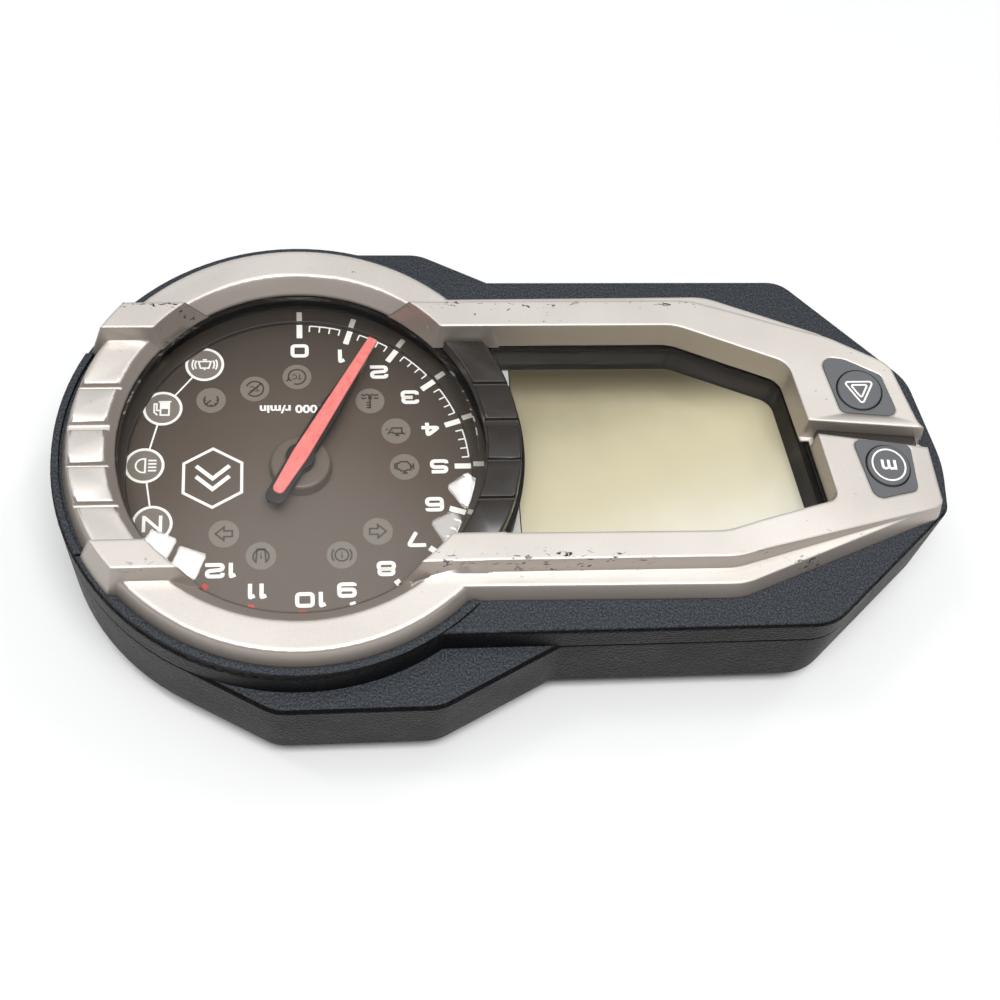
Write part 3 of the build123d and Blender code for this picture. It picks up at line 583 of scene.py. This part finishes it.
# the discs also give off a little painted light
DISC_INK = screened_ink("disc_ink", "#7D736A", "#877E74", 0.03)
SYMBOL_INK = screened_ink("symbol_ink", "#3B322C", "#463C35", 0.0)
discs, dark, pale = [], [], []
for name, at in RINGED.items():
    discs.append(filled(arc(RINGED_R, 0, 354, 60, at)))
    pale.append(circle(RINGED_R + 0.25, at, 0.65))
    pale += [shifted(part, at) for part in SYMBOLS[name]]
windows = np.array(list(RINGED.values()))
for here, after in zip(windows, windows[1:]):
    clear = (after - here) / np.hypot(*(after - here)) * (RINGED_R + 0.4)
    pale.append(stroke([here + clear, after - clear], 0.4))
for name, at in PLAIN.items():
    discs.append(filled(arc(PLAIN_R, 0, 354, 60, at)))
    dark += [shifted(part, at) for part in SYMBOLS[name]]
pale.append(stroke(arc(BADGE_R, 30, 330, 6, BADGE_AT), 0.7, closed=True))
for lift in (-2.2, 0.6):
    chevron = [(-3.9, lift - 1.0), (0, lift + 2.4), (3.9, lift - 1.0)]
    pale.append(shifted(stroke(chevron, 1.0), BADGE_AT))
flat_piece("telltale_discs", discs, DIAL_Z + 0.5 * INK_RISE, "case", DISC_INK)
flat_piece("telltale_symbols", dark, DIAL_Z + INK_RISE, "case", SYMBOL_INK)
flat_piece("telltale_white", pale, DIAL_Z + INK_RISE, "case", WHITE_INK)


# ---- needle ----
# A thin red acrylic blade, lit from its hub in use. It is set in a matt black acetal carrier, which is
# pressed on the motor's shaft and turns with it.
def red_acrylic():
    """Translucent red acrylic: salmon, with painted light of its own from the emission and fine rubs."""
    material, tree, place = blank_material("red_acrylic")
    cloud = add(tree, "TexNoise", {"Vector": place, "Scale": 1 / (2 * MM), "Detail": 3.0})
    share = add(tree, "MapRange", {0: cloud, 1: 0.2, 2: 0.8}, interpolation_type="SMOOTHSTEP")
    colour = add(tree, "Mix", {0: share, 6: linear("#F07C78"), 7: linear("#F5918C")}, out=2,
                 data_type="RGBA")
    rough = add(tree, "MapRange", {0: cloud, 1: 0.3, 2: 0.7, 3: 0.25, 4: 0.4})
    fine = add(tree, "TexNoise", {"Vector": place, "Scale": 1 / (0.4 * MM), "Detail": 3.0})
    rubbed = add(tree, "Bump", {"Height": fine, "Distance": 0.01 * MM, "Strength": 0.3})
    # painted light: the emission makes the unlit blade give off light
    shader = add(tree, "BsdfPrincipled", {
        "Base Color": colour, "Roughness": rough, "IOR": 1.49, "Subsurface Weight": 0.2,
        "Subsurface Scale": 0.002, "Emission Color": linear("#F08078"), "Emission Strength": 0.15,
        "Normal": rubbed})
    add(tree, "OutputMaterial", {"Surface": shader})
    return material


ACETAL = plain_moulding("black_acetal", "#191614", "#26221F", 0.38)
moulded("needle_blade", "needle", red_acrylic(), 0.2)
moulded("needle_carrier", "needle", ACETAL, 0.25)


# ---- display ----
# Reflective liquid crystal glass: a warm beige field with no segment lit. A black moulded mask frames it and
# reaches up to the bezel's window.
def crystal_glass():
    """Polariser over liquid crystal: beige field with a soft gloss. Painted light makes it pale at the upper
    left corner, and a painted shadow makes it brown under the lower wall."""
    material, tree, place = blank_material("crystal_glass")
    low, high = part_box("display_glass")
    across = add(tree, "SeparateXYZ", {0: place}, out="X")
    across = add(tree, "MapRange", {0: across, 1: low.x, 2: high.x, 3: 0.0, 4: -0.35})
    up = add(tree, "SeparateXYZ", {0: place}, out="Y")
    up = add(tree, "MapRange", {0: up, 1: low.y, 2: high.y})
    painted_light_wobble = add(tree, "TexNoise", {"Vector": place, "Scale": 1 / (18 * MM), "Detail": 3.0})
    # painted light and shade: brighter towards +Y and low X; the two beiges are its shaded and lit copies
    painted_light = add(tree, "Math", {0: up, 1: 0.8, 2: across}, operation="MULTIPLY_ADD")
    painted_light = add(tree, "Math", {0: painted_light_wobble, 1: 0.2, 2: painted_light}, operation="MULTIPLY_ADD")
    painted_light_mix = add(tree, "MapRange", {0: painted_light, 1: -0.2, 2: 0.35}, interpolation_type="SMOOTHSTEP")
    colour = add(tree, "Mix", {0: painted_light_mix, 6: linear("#9A9074"), 7: linear("#DDD4B4")}, out=2,
                 data_type="RGBA")
    # painted highlight: near white where the painted light is strongest
    pale = add(tree, "MapRange", {0: painted_light, 1: 0.3, 2: 0.75}, interpolation_type="SMOOTHSTEP")
    colour = add(tree, "Mix", {0: pale, 6: colour, 7: linear("#FBF6E8")}, out=2, data_type="RGBA")
    # painted shadow of the lower wall along the -Y edge
    painted_wall_shadow = add(tree, "MapRange", {0: up, 1: 0.26, 2: 0.04}, interpolation_type="SMOOTHSTEP")
    colour = add(tree, "Mix", {0: painted_wall_shadow, 6: colour, 7: linear("#574F3B")}, out=2, data_type="RGBA")
    fine = add(tree, "TexNoise", {"Vector": place, "Scale": 1 / (0.15 * MM), "Detail": 1.0})
    rough = add(tree, "MapRange", {0: fine, 1: 0.3, 2: 0.7, 3: 0.2, 4: 0.27})
    etched = add(tree, "Bump", {"Height": fine, "Distance": 0.003 * MM, "Strength": 0.2})
    shader = add(tree, "BsdfPrincipled", {
        "Base Color": colour, "Roughness": rough, "IOR": 1.5, "Coat Weight": 0.3, "Coat Roughness": 0.08,
        "Normal": etched})
    add(tree, "OutputMaterial", {"Surface": shader})
    return material


painted(["display_glass"], crystal_glass())
moulded("display_mask", "case", MASK_BLACK)


# ---- clear lens ----
# One polycarbonate moulding with polished faces: a shallow dome over the dial, in a flat flange that also
# covers the display and is clamped under the bezel.
def clear_pc():
    """Clear polycarbonate as a thin skin: mirror gloss of 2.5% that rises at a slant as (1 - cos)^5."""
    material, tree, place = blank_material("clear_pc")
    tilt = add(tree, "LayerWeight", {"Blend": 0.5}, out="Facing")
    steep = add(tree, "Math", {0: tilt, 1: 5.0}, operation="POWER")
    gloss = add(tree, "Math", {0: steep, 1: 0.95, 2: 0.025}, operation="MULTIPLY_ADD")
    smears = add(tree, "TexNoise", {
        "Vector": place, "Scale": 1 / (3 * MM), "Detail": 8.0, "Distortion": 1.5})
    blur = add(tree, "MapRange", {0: smears, 1: 0.55, 2: 0.75, 4: 0.06}, interpolation_type="SMOOTHSTEP")
    mirror = add(tree, "BsdfGlossy", {"Color": linear("#FFFFFF"), "Roughness": blur})
    clear = add(tree, "BsdfTransparent", {"Color": linear("#FEFEFD")})
    both = add(tree, "MixShader", {0: gloss, 1: clear, 2: mirror})
    add(tree, "OutputMaterial", {"Surface": both})
    return material


def dome_shell(rim_r, rise, thick, rim_z, rings=24, around=120):
    """Spherical cap as a closed shell. A point at share s of the rim's radius stands at rim height plus
    sqrt(R^2 - (s r)^2) - (R - rise), with R = (r^2 + rise^2) / (2 rise); the inner skin is thick lower."""
    ball = (rim_r ** 2 + rise ** 2) / (2 * rise)
    share = np.linspace(1 / rings, 1, rings)[:, None] * rim_r
    angle = np.linspace(0, 2 * pi, around, endpoint=False)[None, :]
    height = np.sqrt(ball ** 2 - share ** 2) - (ball - rise) + rim_z
    skin = np.stack([share * np.cos(angle), share * np.sin(angle), height + 0 * angle], -1).reshape(-1, 3)
    skin = np.vstack([[0, 0, rim_z + rise], skin])
    points = np.vstack([skin, skin - (0, 0, thick)]) + (DIAL_X, 0, 0)
    count = len(skin)
    here = np.arange(around)
    after = (here + 1) % around
    faces = [[0, 1 + i, 1 + j] for i, j in zip(here, after)]
    for ring in range(rings - 1):
        row, higher = 1 + ring * around, 1 + (ring + 1) * around
        faces += np.column_stack([row + here, higher + here, higher + after, row + after]).tolist()
    inner = [[i + count for i in reversed(face)] for face in faces]
    edge = 1 + (rings - 1) * around
    wall = np.column_stack([edge + here, edge + here + count, edge + after + count, edge + after]).tolist()
    return points, faces + inner + wall


LENS_CLEAR = clear_pc()
DOME_R = 41.5 * MM
DOME_RISE = 4.4 * MM
LENS_T = 1.7 * MM
lens_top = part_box("clear_lens")[1].z
mesh = bpy.data.meshes.new("lens_dome")
points, faces = dome_shell(DOME_R, DOME_RISE, LENS_T, lens_top - DOME_RISE)
mesh.from_pydata(points.tolist(), [], faces)
mesh.materials.append(LENS_CLEAR)
mesh.shade_smooth()
mesh.set_sharp_from_angle(angle=radians(40))
lens_dome = bpy.data.objects.new("lens_dome", mesh)
bpy.context.scene.collection.objects.link(lens_dome)
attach(lens_dome, "case")

lens_flange = moulded("clear_lens", "case", LENS_CLEAR)
work = bmesh.new()
work.from_mesh(lens_flange.data)
inside = [v for v in work.verts if (v.co.xy - Vector((DIAL_X, 0))).length < DOME_R - 0.1 * MM]
bmesh.ops.delete(work, geom=inside, context="VERTS")
work.to_mesh(lens_flange.data)
work.free()


# ---- bezel ----
# The silver front moulding is ABS under satin metallic paint with a warm tint. Handling has worn its outer
# edges, with dark flecks along the bars. The gloss black ring piece and the strip in the slot are bare ABS.
def satin_paint():
    """Metallic paint: aluminium flake 0.2 mm in a warm clear coat, and orange peel 1.5 mm. Dark flecks show
    where the bars' outer edges, 33.4 mm from the middle line, are worn through, and a few lone ones lie
    elsewhere. Sloping faces are painted darker as painted shade."""
    material, tree, place = blank_material("satin_paint")
    drift = add(tree, "TexNoise", {"Vector": place, "Scale": 1 / (30 * MM), "Detail": 3.0})
    drift = add(tree, "MapRange", {0: drift, 1: 0.3, 2: 0.7}, interpolation_type="SMOOTHSTEP")
    colour = add(tree, "Mix", {0: drift, 6: linear("#DED6CD"), 7: linear("#EAE3DB")}, out=2,
                 data_type="RGBA")
    flake = add(tree, "TexNoise", {"Vector": place, "Scale": 1 / (0.2 * MM), "Detail": 1.0})
    glint = add(tree, "MapRange", {0: flake, 1: 0.3, 2: 0.75, 4: 0.25}, interpolation_type="SMOOTHSTEP")
    colour = add(tree, "Mix", {0: glint, 6: colour, 7: linear("#FAF6F0")}, out=2, data_type="RGBA")
    facing = add(tree, "NewGeometry", out="Normal")
    upward = add(tree, "SeparateXYZ", {0: facing}, out="Z")
    # painted shade: sloping faces are painted a darker tone than flat tops
    painted_slope_shade = add(tree, "MapRange", {0: upward, 1: 0.985, 2: 0.75}, interpolation_type="SMOOTHSTEP")
    colour = add(tree, "Mix", {0: painted_slope_shade, 6: colour, 7: linear("#B0A69D")}, out=2, data_type="RGBA")
    side = add(tree, "SeparateXYZ", {0: place}, out="Y")
    side = add(tree, "Math", {0: side}, operation="ABSOLUTE")
    edge = add(tree, "Math", {0: side, 1: 33.4 * MM}, operation="SUBTRACT")
    edge = add(tree, "Math", {0: edge}, operation="ABSOLUTE")
    edge = add(tree, "MapRange", {0: edge, 1: 2.4 * MM, 2: 0.3 * MM, 4: 0.12},
               interpolation_type="SMOOTHSTEP")
    stretched = add(tree, "Mapping", {"Vector": place, "Scale": (0.45, 1.0, 1.0)})
    chips = add(tree, "TexNoise", {
        "Vector": stretched, "Scale": 1 / (0.9 * MM), "Detail": 6.0, "Distortion": 0.8})
    chips = add(tree, "Math", {0: chips, 1: edge}, operation="ADD")
    chips = add(tree, "MapRange", {0: chips, 1: 0.70, 2: 0.75}, interpolation_type="SMOOTHSTEP")
    run = add(tree, "TexNoise", {"Vector": place, "Scale": 1 / (24 * MM), "Detail": 2.0})
    run = add(tree, "MapRange", {0: run, 1: 0.42, 2: 0.55}, interpolation_type="SMOOTHSTEP")
    chips = add(tree, "Math", {0: chips, 1: run}, operation="MULTIPLY")
    lone = add(tree, "TexNoise", {
        "Vector": place, "Scale": 1 / (1.2 * MM), "Detail": 7.0, "Distortion": 1.0})
    lone = add(tree, "MapRange", {0: lone, 1: 0.745, 2: 0.77}, interpolation_type="SMOOTHSTEP")
    wear = add(tree, "Math", {0: chips, 1: lone}, operation="MAXIMUM")
    colour = add(tree, "Mix", {0: wear, 6: colour, 7: linear("#241E1A")}, out=2, data_type="RGBA")
    metal = add(tree, "Math", {0: wear, 1: -0.4, 2: 0.42}, operation="MULTIPLY_ADD")
    rough = add(tree, "MapRange", {0: flake, 1: 0.3, 2: 0.7, 3: 0.33, 4: 0.42})
    rough = add(tree, "Math", {0: wear, 1: 0.25, 2: rough}, operation="MULTIPLY_ADD")
    rounded = add(tree, "Bevel", {"Radius": 0.9 * MM}, samples=6)
    skin = add(tree, "Bump", {"Height": flake, "Distance": 0.01 * MM, "Strength": 0.3, "Normal": rounded})
    peel = add(tree, "TexNoise", {"Vector": place, "Scale": 1 / (1.5 * MM), "Detail": 2.0})
    skin = add(tree, "Bump", {"Height": peel, "Distance": 0.02 * MM, "Strength": 0.25, "Normal": skin})
    shader = add(tree, "BsdfPrincipled", {
        "Base Color": colour, "Metallic": metal, "Roughness": rough, "Coat Weight": 0.25,
        "Coat Roughness": 0.22, "Normal": skin})
    add(tree, "OutputMaterial", {"Surface": shader})
    return material


moulded("front_bezel", "case", satin_paint())
moulded("divider_trim", "case", GLOSS_BLACK)
moulded("split_trim", "case", GLOSS_BLACK)


# ---- buttons ----
# Moulded silicone rubber: a pad is set in each island, with a round button free to move in it, and the
# button's symbol is screened on it in white.
RUBBER = plain_moulding("silicone_rubber", "#626365", "#6E6F71", 0.5, 0.5)
moulded("hazard_pad", "case", RUBBER, 0.3, 3)
moulded("menu_pad", "case", RUBBER, 0.3, 3)
moulded("hazard_button", "hazard_key", RUBBER, 0.4, 3)
moulded("menu_button", "menu_key", RUBBER, 0.4, 3)


def button_middle(node):
    """Plan middle of a button in dial millimetres, and its top."""
    low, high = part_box(node)
    middle = (low + high) / 2
    return ((middle.x - DIAL_X) / MM, middle.y / MM), high.z


def triangle(radius):
    """Line triangle that points up, drawn with rounded corners."""
    corners = arc(radius, 90, 330, 3)
    bends = [arc(radius * 0.16, a - 60, a + 60, 6, at * 0.86) for a, at in zip((90, 210, 330), corners)]
    return stroke(np.vstack(bends), LINE, closed=True)


SYMBOL_RISE = 0.03         # thickness of a button's ink, mm
hazard_at, hazard_top = button_middle("hazard_button")
marks = [shifted(triangle(radius), hazard_at) for radius in (3.5, 2.0)]
flat_piece("hazard_symbol", marks, hazard_top + SYMBOL_RISE * MM, "hazard_key", WHITE_INK)

menu_at, menu_top = button_middle("menu_button")
MENU_SLOPE = 5.5 / 52.0    # the menu island falls this much towards the nose
MENU_R = 5.3               # radius of the button


def menu_height(points):
    """The top of the menu button slopes down to the nose."""
    edge = points[:, 0] - (menu_at[0] + MENU_R)
    return menu_top + (edge * MENU_SLOPE + 0.04) * MM


marks = [circle(4.1, menu_at), shifted(lettering("m", 2.6, 3.8, 0.02), menu_at)]
flat_piece("menu_symbol", marks, menu_height, "menu_key", WHITE_INK)


# ---- studio ----
# A plain pale table in a dim room with a pale ceiling, a soft box overhead, and four small window panes
# that show in the dome.
def pale_floor():
    """Painted board: almost white, with a trace of unevenness."""
    material, tree, place = blank_material("pale_floor")
    drift = add(tree, "TexNoise", {"Vector": place, "Scale": 1 / (300 * MM), "Detail": 3.0})
    colour = add(tree, "Mix", {0: drift, 6: linear("#F4F4F3"), 7: linear("#FAFAF9")}, out=2,
                 data_type="RGBA")
    rough = add(tree, "MapRange", {0: drift, 1: 0.3, 2: 0.7, 3: 0.75, 4: 0.85})
    shader = add(tree, "BsdfPrincipled", {"Base Color": colour, "Roughness": rough})
    add(tree, "OutputMaterial", {"Surface": shader})
    return material


REACH = 4.0                # half the table's side, m
mesh = bpy.data.meshes.new("floor")
corners = [(-REACH, -REACH, 0), (REACH, -REACH, 0), (REACH, REACH, 0), (-REACH, REACH, 0)]
mesh.from_pydata(corners, [], [(0, 1, 2, 3)])
mesh.materials.append(pale_floor())
floor = bpy.data.objects.new("floor", mesh)
bpy.context.scene.collection.objects.link(floor)


def soft_box(name, azimuth, elevation, distance, size, power, target):
    """Area lamp at an angle from +X and above the table, turned to face the target."""
    a, e = radians(azimuth), radians(elevation)
    away = Vector((cos(a) * cos(e), sin(a) * cos(e), sin(e)))
    lamp = bpy.data.lights.new(name, "AREA")
    lamp.shape = "RECTANGLE"
    lamp.size, lamp.size_y = size
    lamp.energy = power
    holder = bpy.data.objects.new(name, lamp)
    bpy.context.scene.collection.objects.link(holder)
    holder.location = Vector(target) + away * distance
    holder.rotation_euler = away.to_track_quat("Z", "Y").to_euler()


# (name, azimuth, elevation, the spot of the dome that mirrors it in dial millimetres, power)
PANES = [
    ("right_pane_low", -27, 63.8, (30, 25), 1.0),
    ("right_pane_high", -24.6, 69.4, (24, 29), 1.0),
    ("left_pane_low", -140.5, 56.3, (-36, 11), 0.85),
    ("left_pane_high", -148.3, 62.7, (-34, 20), 0.5),
]
DOME_Z = 40                # height of those spots, mm
for name, azimuth, elevation, spot, power in PANES:
    target = (DIAL_X + spot[0] * MM, spot[1] * MM, DOME_Z * MM)
    soft_box(name, azimuth, elevation, 1.6, (0.12, 0.13), power, target)
soft_box("ceiling", 90, 76, 1.8, (1.1, 0.42), 22, (0, 0, 0))

world = bpy.data.worlds.new("room")
world.use_nodes = True
room = world.node_tree
direction = add(room, "TexCoord", out="Generated")
lift = add(room, "SeparateXYZ", {0: direction}, out="Z")
bright = add(room, "MapRange", {0: lift, 1: 0.84, 2: 1.0, 3: 0.24, 4: 1.5}, interpolation_type="SMOOTHSTEP")
room.nodes["Background"].inputs["Color"].default_value = linear("#F4F6F9")
room.links.new(bright, room.nodes["Background"].inputs["Strength"])
bpy.context.scene.world = world
bpy.context.scene.view_settings.view_transform = "Standard"

camera = bpy.data.cameras.new("camera")
camera.lens = 56.75
camera.sensor_width = 36
camera.clip_start = 0.01
holder = bpy.data.objects.new("camera", camera)
bpy.context.scene.collection.objects.link(holder)
holder.location = (DIAL_X - 4.64 * MM, 178.9 * MM, 360.3 * MM)
holder.rotation_euler = Euler((radians(27.305), radians(-5.316), radians(176.174)))
bpy.context.scene.camera = holder
